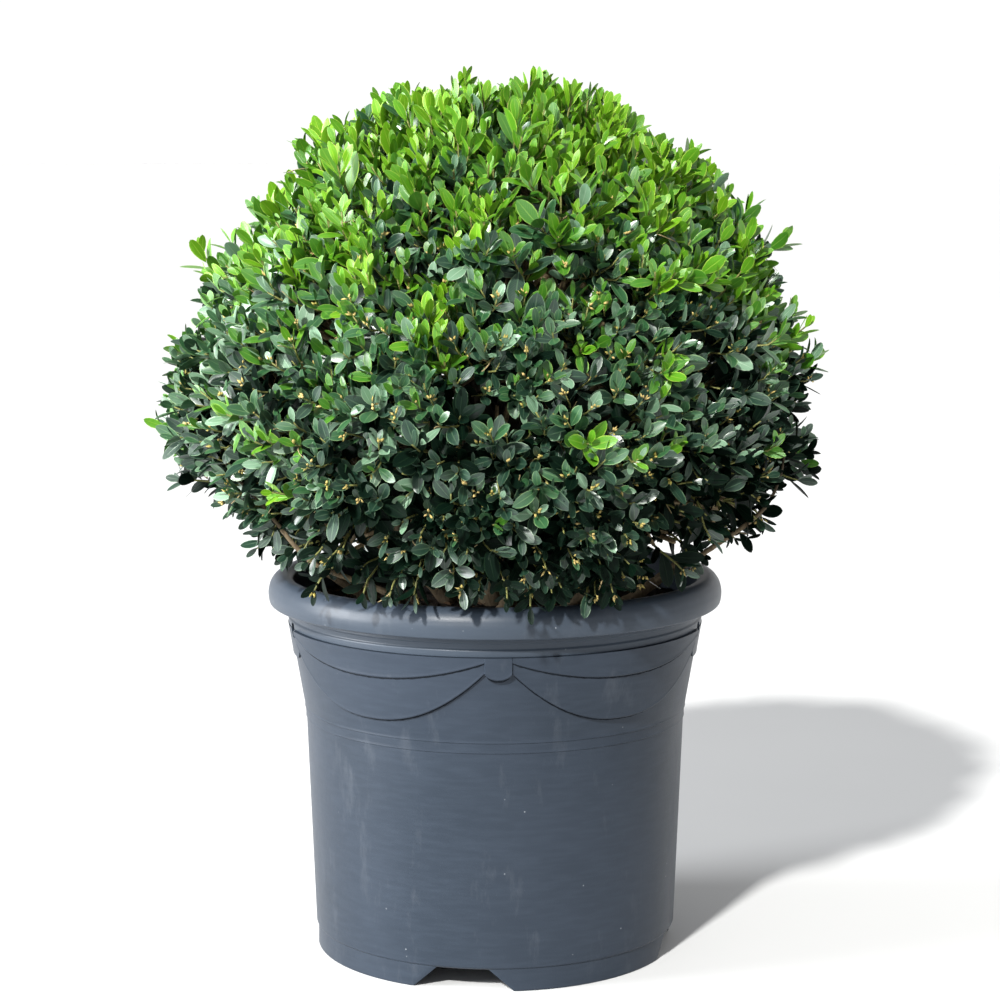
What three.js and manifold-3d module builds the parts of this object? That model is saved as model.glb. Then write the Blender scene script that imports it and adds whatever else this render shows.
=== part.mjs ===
// A clipped box ball growing in a round plastic nursery pot.
// Millimetres, +Z up. The origin is on the pot's axis, at the level its foot stands on.
// Azimuths are degrees about Z: 0 is the front (-Y), 90 is the right (+X).
import * as THREE from 'three';
import { mergeVertices } from 'three/addons/utils/BufferGeometryUtils.js';
import Module from 'manifold-3d';

// ---- driving dimensions ----
const gap = 0.3;                 // left between pieces that touch
const wallThick = 2.4;

// the pot turns in equal facets, and a hanging tab is one facet wide
const facets = 48;
const facet = 360 / facets;
const halfFacet = facet / 2;
const potTurn = 1;               // how far the front tab stands from the front

// the wall, from the foot up
const footHeight = 19;
const footTopRadius = 160;       // the wall where it meets the foot
const bandLow = 207;             // the double ring line round the waist
const bandHigh = 216;
const bandLowRadius = 167.2;
const bandHighRadius = 168.1;
const lineStep = 0.6;            // each ring line is a step this deep
const wallTop = 291;
const wallTopRadius = 181.2;
const floorThick = 3;

// the collar and the rolled lip
const collarProud = 1.1;
const shoulder = 297;
const lipLow = 309;
const rimHeight = 334;
const rimRadius = 200;
const rimInner = 178;

// the foot: four pads with drainage notches between them
const footOuter = 158.6;
const footInner = 150;
const notchCentre = -10;
const notchHalfLow = 16;         // half the notch's angle at the ground
const notchHalfHigh = 8;         // and at its top
const footPads = 4;
const drainHoles = 8;
const drainRadius = 7;
const drainCircle = 105;

// the moulded swags: an upper and a lower line between a tab and a handle pad
const tabLow = 272;
const tabRound = 8;               // the height of its round lower end
const tabProud = 2.8;
const inset = 0.05;              // degrees between a tab or pad and the swags beside it
const padLow = 265;
const padRound = 8;
const padFacets = 5;
const padProud = 2.5;
const upperSwag = { dip: 269, rise: 21.8, power: 2.1, proud: 1.9 };
const lowerSwag = { dip: 231.5, rise: 58, power: 2.3, proud: 1.1 };

// the slots for a carrying handle, one near each end of the handle pads
const slotWidth = 10;
const slotLow = 283;
const slotHigh = 296;
const slotFromPadCentre = 15;

// the growing compost and the plant
const compostTop = 305;
const crownCentre = 455;
const crownRadius = 282;
const crownRise = 312;           // from the crown's centre to its top
const crownDrop = 170;           // and how deep its lower half would be, uncut
const underRim = 340;            // the crown's lower edge
const underApex = 374;           // the height of the hollow under it, on the axis
const underEdge = 205;
const lumpHeight = 1.9;
const lumpWaves = 14;
const crownDetail = 11;

const boughSides = 8;
const boughSteps = 6;
const stemRadius = 13;
const outerBoughs = 6;
const innerBoughs = 3;

const radians = THREE.MathUtils.degToRad;

// ---- helpers ----

// A closed solid between sections of equally many points, its two ends capped.
function loft(sections) {
  const n = sections[0].length;
  const end = (sections.length - 1) * n;
  const index = [];
  for (let a = 0; a < end; a += n) {
    const b = a + n;
    for (let i = 0; i < n; i++) {
      const j = (i + 1) % n;
      index.push(a + i, a + j, b + j, a + i, b + j, b + i);
    }
  }
  for (let i = 1; i < n - 1; i++) {
    index.push(0, i + 1, i, end, end + i, end + i + 1);
  }
  const geometry = new THREE.BufferGeometry().setFromPoints(sections.flat());
  geometry.setIndex(index);
  return geometry;
}

// A ring turned from a closed [radius, height] outline, counter-clockwise.
function turned(outline) {
  const profile = outline.map(([r, z]) => new THREE.Vector2(r, z));
  profile.push(profile[0].clone());
  const geometry = new THREE.LatheGeometry(profile, facets, radians(halfFacet));
  return geometry.rotateX(Math.PI / 2);
}

// A point at an azimuth, a radius and a height.
function around(azimuth, radius, height) {
  const a = radians(azimuth);
  return new THREE.Vector3(radius * Math.sin(a), -radius * Math.cos(a), height);
}

// The wall's outer radius above the ring lines, at the facets' corners.
function wallRadius(height) {
  const t = (height - bandHigh) / (wallTop - bandHigh);
  return bandHighRadius + lineStep + t * (wallTopRadius - bandHighRadius - lineStep);
}

// A point standing clear of the wall's flat facets by a distance.
function onWall(azimuth, height, clear) {
  const fromMiddle = azimuth - facet * Math.round(azimuth / facet);
  const flat = Math.cos(radians(halfFacet)) / Math.cos(radians(fromMiddle));
  return around(azimuth, (wallRadius(height) + clear) * flat, height);
}

// A raised layer on the wall, whose lower and upper edges are functions of the azimuth.
function layer(from, to, steps, proud, lowEdge, highEdge = () => wallTop - gap) {
  const sections = [];
  for (let i = 0; i <= steps; i++) {
    const azimuth = from + ((to - from) * i) / steps;
    const low = lowEdge(azimuth);
    const high = highEdge(azimuth);
    sections.push([
      onWall(azimuth, low, gap),
      onWall(azimuth, high, gap),
      onWall(azimuth, high, proud),
      onWall(azimuth, low, proud),
    ]);
  }
  return loft(sections);
}

const kernel = await Module();
kernel.setup();

// The merged solid of a geometry, for joins and cuts.
function solid(geometry) {
  const bare = geometry.clone();
  bare.deleteAttribute('normal');
  bare.deleteAttribute('uv');
  const merged = mergeVertices(bare, 1e-4);
  return new kernel.Manifold(new kernel.Mesh({
    numProp: 3,
    vertProperties: new Float32Array(merged.attributes.position.array),
    triVerts: new Uint32Array(merged.index.array),
  }));
}

// A geometry cut by others.
function cut(geometry, tools) {
  let body = solid(geometry);
  for (const tool of tools) {
    body = body.subtract(solid(tool));
  }
  const mesh = body.getMesh();
  const result = new THREE.BufferGeometry();
  result.setAttribute('position', new THREE.BufferAttribute(mesh.vertProperties, 3));
  result.setIndex(new THREE.BufferAttribute(mesh.triVerts, 1));
  return result;
}

const potPlastic = { color: 0x59636e, roughness: 0.5, metalness: 0 };
const compostStuff = { color: 0x1b1714, roughness: 0.95, metalness: 0 };
const bark = { color: 0x8d8370, roughness: 0.85, metalness: 0 };
const foliage = { color: 0x2f5a2a, roughness: 0.45, metalness: 0 };

const pot = new THREE.Group();
pot.rotation.z = radians(potTurn);
const plant = new THREE.Group();

function add(group, name, geometry, look) {
  const mesh = new THREE.Mesh(geometry, new THREE.MeshStandardMaterial(look));
  mesh.name = name;
  group.add(mesh);
  return mesh;
}

// ---- the pot ----

// Boxes through the wall, where a carrying handle would hook in.
function handleSlots() {
  const reach = 40;
  const height = slotHigh - slotLow;
  const slots = [];
  for (const side of [90, -90]) {
    for (const end of [-slotFromPadCentre, slotFromPadCentre]) {
      const slot = new THREE.BoxGeometry(slotWidth, reach, height);
      const middle = around(side + end, wallTopRadius, (slotLow + slotHigh) / 2);
      slot.rotateZ(radians(side + end));
      slot.translate(middle.x, middle.y, middle.z);
      slots.push(slot);
    }
  }
  return slots;
}

// The wall and floor, moulded with two ring lines round the waist.
function potWall() {
  const base = footHeight + gap;
  const outline = [
    [0, base],
    [footTopRadius, base],
    [bandLowRadius, bandLow],
    [bandLowRadius + lineStep, bandLow + lineStep],
    [bandHighRadius, bandHigh - gap],
    [bandHighRadius + lineStep, bandHigh],
    [wallTopRadius, wallTop],
    [wallTopRadius - wallThick, wallTop],
    [bandHighRadius - wallThick, bandHigh],
    [footTopRadius - wallThick, base + floorThick],
    [0, base + floorThick],
  ];
  const profile = outline.map(([r, z]) => new THREE.Vector2(r, z));
  const shell = new THREE.LatheGeometry(profile, facets, radians(halfFacet));
  const cuts = handleSlots();
  for (let i = 0; i < drainHoles; i++) {
    const hole = new THREE.CylinderGeometry(drainRadius, drainRadius, 4 * floorThick, 10);
    hole.rotateX(Math.PI / 2);
    const place = around((i + 0.5) * (360 / drainHoles), drainCircle, base + floorThick / 2);
    hole.translate(place.x, place.y, place.z);
    cuts.push(hole);
  }
  return cut(shell.rotateX(Math.PI / 2), cuts);
}

// The collar over the wall, and the lip that rolls out and down from it.
function potRim() {
  const low = wallTop + gap;
  const neck = wallTopRadius + collarProud;
  const outline = [
    [wallTopRadius - wallThick, low],
    [neck, low],
    [neck + 0.4, shoulder],
    [neck - 0.6, shoulder + 2],
    [neck, lipLow],
    [rimRadius - 3.5, lipLow],
    [rimRadius - 1.2, lipLow + 3],
    [rimRadius, lipLow + 9],
    [rimRadius - 1.2, lipLow + 16],
    [rimRadius - 5.5, rimHeight - 3],
    [rimRadius - 11, rimHeight],
    [rimInner + 4, rimHeight - 0.6],
    [rimInner, rimHeight - 4],
  ];
  return cut(turned(outline), handleSlots());
}

// One quarter of the foot ring, between two drainage notches.
function footPad(centre) {
  const columns = 8;
  const halfPitch = 180 / footPads;
  const sections = [];
  for (let i = 0; i <= columns; i++) {
    const t = (2 * i) / columns - 1;
    const low = centre + t * (halfPitch - notchHalfLow);
    const high = centre + t * (halfPitch - notchHalfHigh);
    sections.push([
      around(low, footInner, 0),
      around(high, footInner, footHeight),
      around(high, footOuter, footHeight),
      around(low, footOuter, 0),
    ]);
  }
  return loft(sections);
}

add(pot, 'pot_wall', potWall(), potPlastic);
add(pot, 'pot_rim', potRim(), potPlastic);
for (let i = 0; i < footPads; i++) {
  const centre = notchCentre - potTurn + (i + 0.5) * (360 / footPads);
  add(pot, `foot_pad_${i + 1}`, footPad(centre), potPlastic);
}

// Swag lines hang from the tab's side to the handle pad's side, in a shallow bow.
const padHalf = (padFacets * facet) / 2;
const swagMiddle = (halfFacet + 90 - padHalf) / 2;
const swagSteps = 18;
const sliver = 2;
const keptBand = 4;

function swagEdge({ dip, rise, power }, middle) {
  return (azimuth) => {
    const u = Math.abs(azimuth - middle) / swagMiddle;
    return Math.min(dip + rise * u ** power, wallTop - keptBand);
  };
}

// The front and back tabs have a round lower end.
function tab(centre) {
  const edge = (azimuth) => {
    const u = Math.abs(azimuth - centre) / halfFacet;
    return tabLow + tabRound * (1 - Math.sqrt(1 - u * u));
  };
  return layer(centre - halfFacet + inset, centre + halfFacet - inset, 8, tabProud, edge);
}

// A handle pad, cut by its two slots.
function handlePad(centre) {
  const edge = (azimuth) => {
    const fromEnd = padHalf - Math.abs(azimuth - centre);
    const u = Math.max(0, 1 - fromEnd / halfFacet);
    return padLow + padRound * u * u;
  };
  const pad = layer(centre - padHalf + inset, centre + padHalf - inset, 20, padProud, edge);
  return cut(pad, handleSlots());
}

const spans = [
  ['front_right', 0, 1],
  ['back_right', 180, -1],
  ['back_left', 180, 1],
  ['front_left', 0, -1],
];
for (const [name, start, way] of spans) {
  const sides = [halfFacet + 0.1, 90 - padHalf - 0.1];
  const [from, to] = sides.map((side) => start + way * side).sort((a, b) => a - b);
  const middle = start + way * swagMiddle;
  const upperEdge = swagEdge(upperSwag, middle);
  const lowerEdge = swagEdge(lowerSwag, middle);
  const upper = layer(from, to, swagSteps, upperSwag.proud, upperEdge);
  // the lower layer shows between the two lines, and is never thinner than a sliver
  const bandTop = (azimuth) => upperEdge(azimuth) - gap;
  const bandFoot = (azimuth) => Math.min(lowerEdge(azimuth), bandTop(azimuth) - sliver);
  const lower = layer(from, to, swagSteps, lowerSwag.proud, bandFoot, bandTop);
  add(pot, `swag_upper_${name}`, upper, potPlastic);
  add(pot, `swag_lower_${name}`, lower, potPlastic);
}

add(pot, 'tab_front', tab(0), potPlastic);
add(pot, 'tab_back', tab(180), potPlastic);
add(pot, 'handle_pad_right', handlePad(90), potPlastic);
add(pot, 'handle_pad_left', handlePad(-90), potPlastic);

// ---- the compost ----

// A plug that fills the pot from its floor to a hand's width below the rim.
function compost() {
  const floor = footHeight + floorThick + 2 * gap;
  const side = wallThick + gap;
  const profile = [
    [0, floor],
    [footTopRadius - side, floor],
    [bandHighRadius - side, bandHigh],
    [wallTopRadius - side - 0.5, wallTop],
    [rimInner - 0.6, compostTop],
    [0, compostTop],
  ].map(([r, z]) => new THREE.Vector2(r, z));
  const plug = new THREE.LatheGeometry(profile, facets, radians(halfFacet));
  return plug.rotateX(Math.PI / 2);
}

add(pot, 'compost', compost(), compostStuff);

// ---- the crown ----

// Directions spread evenly over a sphere, for the lumps in the clipped face.
function spreadDirection(k, count) {
  const z = 1 - (2 * k + 1) / count;
  const turn = k * Math.PI * (3 - Math.sqrt(5));
  const flat = Math.sqrt(1 - z * z);
  return new THREE.Vector3(flat * Math.cos(turn), flat * Math.sin(turn), z);
}

// How far the face swells out or falls in along a direction.
function lump(direction) {
  let height = 0;
  for (let k = 0; k < lumpWaves; k++) {
    const along = direction.dot(spreadDirection(k, lumpWaves));
    height += lumpHeight * Math.sin((9 + 1.3 * k) * along + 2.1 * k);
  }
  return height;
}

// The height of the crown's underside at a radius: a shallow hollow over the compost.
function underside(radius) {
  const t = Math.min(1, radius / underEdge);
  return underApex - (underApex - underRim) * t ** 1.5;
}

// The distance from the crown's centre to its face along a direction.
function crownReach(direction) {
  const flat = Math.hypot(direction.x, direction.y);
  const tall = direction.z > 0 ? crownRise : crownDrop;
  const round = 1 / Math.hypot(flat / crownRadius, direction.z / tall);
  let reach = round + lump(direction);
  if (direction.z < 0) {
    for (let i = 0; i < 12; i++) {
      const drop = crownCentre - underside(Math.min(reach * flat, underEdge));
      reach = Math.min(reach, drop / -direction.z);
    }
  }
  return reach;
}

function crown() {
  const ball = new THREE.IcosahedronGeometry(1, crownDetail);
  ball.deleteAttribute('normal');
  ball.deleteAttribute('uv');
  const geometry = mergeVertices(ball, 1e-4);
  const position = geometry.attributes.position;
  const direction = new THREE.Vector3();
  for (let i = 0; i < position.count; i++) {
    direction.fromBufferAttribute(position, i).normalize();
    direction.multiplyScalar(crownReach(direction));
    position.setXYZ(i, direction.x, direction.y, direction.z);
  }
  geometry.computeBoundingBox();
  const middle = geometry.boundingBox.getCenter(new THREE.Vector3());
  return geometry.translate(-middle.x, -middle.y, crownCentre);
}

add(plant, 'crown', crown(), foliage);

// ---- the stem and main boughs ----

// A tapering limb from the compost to just under the crown.
function limb(foot, head, thick, thin, bow) {
  const middle = foot.clone().lerp(head, 0.5);
  middle.z -= bow;
  const path = new THREE.CatmullRomCurve3([foot, middle, head]);
  const frames = path.computeFrenetFrames(boughSteps);
  const sections = [];
  for (let s = 0; s <= boughSteps; s++) {
    const t = s / boughSteps;
    const centre = path.getPointAt(t);
    const radius = thick + (thin - thick) * t;
    const ring = [];
    for (let i = 0; i < boughSides; i++) {
      const a = (2 * Math.PI * i) / boughSides;
      const point = centre.clone();
      point.addScaledVector(frames.normals[s], radius * Math.cos(a));
      point.addScaledVector(frames.binormals[s], radius * Math.sin(a));
      ring.push(point);
    }
    sections.push(ring);
  }
  return loft(sections);
}

const clearance = 4;             // from a limb's cut end to the crown's face
const foot = compostTop + 3;
const stemHead = underside(0) - clearance - 6;
const stem = limb(around(0, 0, foot), around(40, 6, stemHead), stemRadius, stemRadius - 3, 0);
add(plant, 'stem', stem, bark);

function boughRing(count, name, from, to, thick, thin, turn) {
  for (let i = 0; i < count; i++) {
    const azimuth = turn + (i * 360) / count;
    const start = around(azimuth - 8, from, foot + thick * 0.7);
    const end = around(azimuth, to, underside(to) - clearance - thin);
    add(plant, `${name}_${i + 1}`, limb(start, end, thick, thin, 3), bark);
  }
}

boughRing(outerBoughs, 'outer_bough', 112, 166, 6.5, 5, 90);
boughRing(innerBoughs, 'inner_bough', 42, 92, 8.5, 6.5, 20);

const part = new THREE.Group();
part.add(pot, plant);

export default part;
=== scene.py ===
import math

import bpy
import numpy as np
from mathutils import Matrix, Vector, noise
from mathutils.bvhtree import BVHTree


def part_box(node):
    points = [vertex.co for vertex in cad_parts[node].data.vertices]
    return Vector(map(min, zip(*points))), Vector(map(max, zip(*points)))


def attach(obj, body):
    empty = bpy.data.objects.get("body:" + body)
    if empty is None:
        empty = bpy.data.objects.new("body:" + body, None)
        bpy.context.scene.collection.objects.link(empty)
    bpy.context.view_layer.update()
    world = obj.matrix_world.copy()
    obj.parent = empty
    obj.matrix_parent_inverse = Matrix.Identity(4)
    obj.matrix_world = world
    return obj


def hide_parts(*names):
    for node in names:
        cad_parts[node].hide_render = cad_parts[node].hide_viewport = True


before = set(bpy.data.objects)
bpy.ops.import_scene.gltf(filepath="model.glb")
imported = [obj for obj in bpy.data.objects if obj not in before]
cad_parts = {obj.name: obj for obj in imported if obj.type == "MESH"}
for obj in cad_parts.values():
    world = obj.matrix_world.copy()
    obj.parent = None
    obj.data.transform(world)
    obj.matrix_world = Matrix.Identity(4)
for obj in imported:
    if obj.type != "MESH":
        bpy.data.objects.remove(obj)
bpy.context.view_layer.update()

MM = 0.001
SHARP = 35                # degrees between two faces from which their edge stays sharp
UP = np.array([0.0, 0.0, 1.0])


# ---------------------------------------------------------------- finishes

class Wire:
    """One value running through a finish's nodes, so that its maths reads as Python."""

    def __init__(self, finish, socket):
        self.finish, self.socket = finish, socket

    def out(self, name):
        return Wire(self.finish, self.socket.node.outputs[name])

    def _math(self, operation, *values, clamp=False):
        settings = {"operation": operation, "use_clamp": clamp}
        return self.finish.node("ShaderNodeMath", settings, dict(enumerate(values)))

    def __add__(self, other):
        return self._math("ADD", self, other)

    def __sub__(self, other):
        return self._math("SUBTRACT", self, other)

    def __mul__(self, other):
        return self._math("MULTIPLY", self, other)

    def __rsub__(self, other):
        return self._math("SUBTRACT", other, self)

    __radd__, __rmul__ = __add__, __mul__

    def __abs__(self):
        return self._math("ABSOLUTE", self)

    def sine(self):
        return self._math("SINE", self)

    def between(self, low, high):
        """0 at low, 1 at high, straight in between and held beyond."""
        return self._math("MULTIPLY", self - low, 1 / (high - low), clamp=True)


class Nodes:
    """A tree of nodes that is built up on one shader."""

    def __init__(self, tree, shader, **constants):
        self.tree, self.shader = tree, tree.nodes[shader]
        self.set(**constants)

    def set(self, **values):
        """Sets or links the shader's sockets, whose names are given with underscores."""
        for key, value in values.items():
            self._feed(self.shader.inputs[key.replace("_", " ")], value)

    def _feed(self, socket, value):
        if isinstance(value, Wire):
            self.tree.links.new(value.socket, socket)
        else:
            socket.default_value = value

    def node(self, kind, settings=None, values=None, out=0):
        """A node of a type, with its settings set first and then its sockets fed."""
        made = self.tree.nodes.new(kind)
        for key, value in (settings or {}).items():
            setattr(made, key, value)
        for key, value in (values or {}).items():
            self._feed(made.inputs[key], value)
        return Wire(self, made.outputs[out])


class Finish(Nodes):
    """A material built from nodes on one Principled shader."""

    def __init__(self, name, **constants):
        self.material = bpy.data.materials.new(name)
        self.material.use_nodes = True
        super().__init__(self.material.node_tree, "Principled BSDF", **constants)

    def done(self, **values):
        """The material, once the last of its sockets are fed."""
        self.set(**values)
        return self.material

    def place(self):
        return self.node("ShaderNodeTexCoord").out("Object")

    def grain(self, scale, detail=3.0, at=None, rough=0.5):
        """Soft noise from 0 to 1, with so many grains to a metre."""
        values = {"Scale": scale, "Detail": detail, "Roughness": rough}
        values["Vector"] = self.place() if at is None else at
        return self.node("ShaderNodeTexNoise", None, values)

    def stretched(self, x, y, z):
        """The object's own coordinates, drawn out or squeezed along each axis."""
        settings = {"operation": "MULTIPLY"}
        return self.node("ShaderNodeVectorMath", settings, {0: self.place(), 1: (x, y, z)})

    def blend(self, share, first, second):
        """A colour between two, each a wire or a screen's (red, green, blue)."""
        first, second = (shade(*c) if isinstance(c, tuple) else c for c in (first, second))
        settings = {"data_type": "RGBA", "clamp_factor": True}
        return self.node("ShaderNodeMix", settings, {0: share, 6: first, 7: second}, out=2)

    def layered(self, colour, *layers):
        """A colour with others laid over it in turn, each given as (share, colour)."""
        for share, over in layers:
            colour = self.blend(share, colour, over)
        return colour

    def relief(self, height, depth, strength=1.0):
        """A bump of a depth in metres."""
        values = {"Height": height, "Distance": depth, "Strength": strength}
        return self.node("ShaderNodeBump", None, values)


def shade(red, green, blue):
    """A screen's colour, from 0 to 255, as a node's socket takes it."""
    linear = []
    for value in (red, green, blue):
        v = value / 255
        linear.append(v / 12.92 if v < 0.04045 else ((v + 0.055) / 1.055) ** 2.4)
    return (*linear, 1.0)


def pot_plastic(name, dark, light, level):
    """Blown plastic: satin, finely grained, a little uneven, with dust and pale specks."""
    finish = Finish(name, IOR=1.47, Specular_IOR_Level=level)
    clouds = finish.grain(7, 4)
    drift = finish.grain(1, 5, finish.stretched(40, 40, 260))
    scuffs = finish.grain(1, 6, finish.stretched(30, 30, 9), 0.7).between(0.56, 0.74)
    cells = {"Vector": finish.place(), "Scale": 120.0}
    speck = finish.node("ShaderNodeTexVoronoi", {"feature": "F1"}, cells)
    chosen = finish.node("ShaderNodeSeparateColor", None, {0: speck.out("Color")})
    speck = (1 - speck.between(0.05, 0.11)) * chosen.out("Red").between(0.93, 0.94)
    colour = finish.layered(
        finish.blend(clouds.between(0.3, 0.7), dark, light),
        (drift.between(0.4, 0.75) * 0.2, (58, 67, 79)),
        (scuffs * 0.16, (108, 112, 118)), (speck * 0.40, (160, 165, 170)))
    pores = finish.grain(1100, 2)
    swell = finish.grain(38, 2)
    return finish.done(
        Base_Color=colour,
        Roughness=0.36 + 0.08 * clouds + 0.12 * scuffs,
        Normal=finish.relief(pores * 0.35 + swell * 1.2 + drift * 0.15, 0.00022),
    )


def gritty(name, level, patches, edges, dark, light, grit, roughness, depth):
    """Two patchy colours under a grit that roughens them; for the painted shade under the
    mouldings and for bits of bark.
    """
    finish = Finish(name, Specular_IOR_Level=level)
    tone, fine = finish.grain(*patches), finish.grain(*grit)
    return finish.done(
        Base_Color=finish.blend(tone.between(*edges), dark, light),
        Roughness=roughness + 0.2 * fine,
        Normal=finish.relief(fine, depth),
    )


def damp_compost():
    """Dark peat with brown fibres and a few pale grains."""
    finish = Finish("damp_compost", Specular_IOR_Level=0.3)
    crumbs = finish.grain(260, 6, rough=0.7)
    patches = finish.grain(24, 3)
    fibres = finish.grain(1, 4, finish.stretched(900, 160, 400), 0.6)
    colour = finish.blend(patches.between(0.35, 0.7), (24, 20, 17), (44, 35, 28))
    colour = finish.blend(fibres.between(0.6, 0.72) * 0.6, colour, (84, 66, 48))
    return finish.done(
        Base_Color=colour,
        Roughness=0.8 + 0.2 * crumbs,
        Normal=finish.relief(crumbs + 0.6 * fibres, 0.0015),
    )


def bough_bark():
    """Grey-fawn box bark with fine lengthwise cracks, and painted shade that darkens it to
    near black up inside the crown.
    """
    finish = Finish("bough_bark", Specular_IOR_Level=0.35)
    cracks = finish.grain(1, 6, finish.stretched(900, 900, 130), 0.65)
    patches = finish.grain(45, 4)
    cork = finish.grain(420, 4)
    rise = finish.node("ShaderNodeSeparateXYZ", None, {0: finish.place()}).out("Z")
    colour = finish.layered(
        finish.blend(patches.between(0.3, 0.7), (76, 64, 47), (122, 107, 82)),
        (cracks.between(0.52, 0.66) * 0.7, (62, 50, 36)),
        (cork.between(0.6, 0.75) * 0.35, (146, 136, 115)),
        # painted shade: near black with height, where the bark stands inside the crown
        (rise.between(0.38, 0.47) * 0.85, (30, 28, 20)))
    return finish.done(
        Base_Color=colour,
        Roughness=0.72 + 0.2 * cork,
        Normal=finish.relief(0.5 * cork - cracks, 0.0009),
    )


CELL_LOW, CELL_SIDE = 0.01, 0.18     # the small square of the map that all leaves share


def mapped(finish):
    """How far along (0 to 1) and across (-1 to 1) a leaf or a twig a point lies."""
    where = finish.node("ShaderNodeUVMap", {"uv_map": "OFBake"})
    parts = finish.node("ShaderNodeSeparateXYZ", None, {0: where})
    along = parts.out("X").between(CELL_LOW, CELL_LOW + CELL_SIDE)
    across = parts.out("Y").between(CELL_LOW, CELL_LOW + CELL_SIDE) * 2 - 1
    return along, across, where


def young_bark(name, light, dark):
    """The smooth skin of a twig: pale ridges, darker between, and a ring at each joint."""
    finish = Finish(name, Specular_IOR_Level=0.4)
    along, across, where = mapped(finish)
    mottle = finish.grain(160, 3, where)
    ring = (along * 37.7).sine().between(0.82, 1.0)
    ridge = (across * 6.28).sine().between(-0.4, 0.9)
    colour = finish.blend(ridge * 0.6 + mottle.between(0.35, 0.65) * 0.4, dark, light)
    return finish.done(
        Base_Color=finish.blend(ring * 0.6, colour, dark),
        Roughness=0.5 + 0.3 * mottle,
        Normal=finish.relief(ridge + ring, 0.0003),
    )


def leaf_skin(name, blade, vein_and_edge_highlight, gloss):
    """A leathery leaf: a pale midrib, faint side veins, and a thin pale margin that is partly
    painted highlight where the edge catches light.
    """
    finish = Finish(name, Coat_Weight=gloss, Coat_Roughness=0.28,
                    Specular_IOR_Level=0.06 + 0.9 * gloss)
    along, across, _ = mapped(finish)
    side = abs(across)
    midrib = (1 - side.between(0.0, 0.11)) * (1 - along * 0.6)
    # the margin's pale rim is partly painted highlight
    margin = side.between(0.84, 0.98)
    veins = ((along - side * 0.30) * 75).sine().between(0.45, 1.0) * side.between(0.06, 0.3)
    colour = finish.blend(midrib * 0.50 + margin * 0.62 + veins * 0.08, blade, vein_and_edge_highlight)
    return finish.done(
        Base_Color=colour,
        Roughness=0.41 + 0.06 * margin + 0.06 * veins,
        Normal=finish.relief(1 - midrib - 0.25 * veins, 0.0004, 0.6),
    )


# ---------------------------------------------------------------- pieces

def placed(name, data):
    """A new object in the scene."""
    made = bpy.data.objects.new(name, data)
    bpy.context.scene.collection.objects.link(made)
    return made


def piece(name, points, faces, material, maps=None, nodes=(), sharp=None):
    """A mesh piece from points and arrays of faces, riding on the one body."""
    mesh = bpy.data.meshes.new(name)
    faces = [np.asarray(f, dtype=np.int32) for f in faces if len(f)]
    corners = np.concatenate([f.ravel() for f in faces])
    sizes = np.concatenate([np.full(len(f), f.shape[1], np.int32) for f in faces])
    starts = np.concatenate([[0], np.cumsum(sizes)[:-1]]).astype(np.int32)
    mesh.vertices.add(len(points))
    mesh.vertices.foreach_set("co", np.asarray(points, np.float32).ravel())
    mesh.loops.add(len(corners))
    mesh.loops.foreach_set("vertex_index", corners)
    mesh.polygons.add(len(sizes))
    mesh.polygons.foreach_set("loop_start", starts)
    mesh.polygons.foreach_set("use_smooth", np.ones(len(sizes), bool))
    if maps is not None:
        layer = mesh.uv_layers.new(name="OFBake")
        layer.data.foreach_set("uv", np.concatenate(maps).astype(np.float32).ravel())
    mesh.update(calc_edges=True)
    if sharp is not None:
        mesh.set_sharp_from_angle(angle=math.radians(sharp))
    mesh.materials.append(material)
    made = placed(name, mesh)
    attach(made, "root")
    if nodes:
        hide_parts(*nodes)
    return made


def around(azimuth, radius, height):
    """Points from azimuths in degrees, where 0 is the front and 90 the right."""
    turn = np.radians(azimuth)
    parts = np.broadcast_arrays(radius * np.sin(turn), -radius * np.cos(turn), height)
    return np.stack(parts, -1)


def net(rows, columns, close_rows=False, close_columns=False, start=0):
    """The four-cornered faces of a net of points that is laid out row by row."""
    r = np.arange(rows if close_rows else rows - 1)
    c = np.arange(columns if close_columns else columns - 1)
    r, c = np.meshgrid(r, c, indexing="ij")
    r1, c1 = (r + 1) % rows, (c + 1) % columns
    quads = [r * columns + c, r * columns + c1, r1 * columns + c1, r1 * columns + c]
    return np.stack(quads, -1).reshape(-1, 4) + start


def loft(sections, corners, start=0):
    """The faces of a solid drawn through equal outlines, with both its ends closed."""
    end = np.arange(corners)[None]
    return [net(sections, corners, False, True, start), end[:, ::-1] + start,
            end + start + (sections - 1) * corners]


def fan(hub, start, count, flip=False):
    """The three-cornered faces between a hub and a closed ring of points."""
    here = np.arange(count)
    ahead = (here + 1) % count
    sides = (ahead, here) if flip else (here, ahead)
    return np.stack([np.full(count, hub), *(start + side for side in sides)], -1)


def repeated(faces, count, corners):
    """The faces of a small mesh of so many corners, for each of its copies in turn."""
    starts = (np.arange(count) * corners)[:, None, None]
    return (np.asarray(faces)[None] + starts).reshape(-1, np.shape(faces)[1])


def eased(outline, closed=True):
    """An outline of (radius, height, rounding) in mm with its corners rounded off."""
    points = np.array([(r, z) for r, z, _ in outline], float)
    result = []
    last = len(outline) - 1
    for i, (r, z, rounding) in enumerate(outline):
        here = points[i]
        if rounding == 0 or (not closed and i in (0, last)):
            result.append(here)
            continue
        before, after = points[i - 1] - here, points[(i + 1) % len(outline)] - here
        reach_in, reach_out = np.linalg.norm(before), np.linalg.norm(after)
        cut = min(rounding, 0.42 * reach_in, 0.42 * reach_out)
        a, b = here + before / reach_in * cut, here + after / reach_out * cut
        guard = min(0.15 * cut, 0.02 * min(reach_in, reach_out)) + 1e-6
        result.append(a + before / reach_in * guard)
        for t in (0.0, 0.25, 0.5, 0.75, 1.0):
            result.append((1 - t) ** 2 * a + 2 * t * (1 - t) * here + t * t * b)
        result.append(b + after / reach_out * guard)
    return np.array(result) * MM


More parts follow.
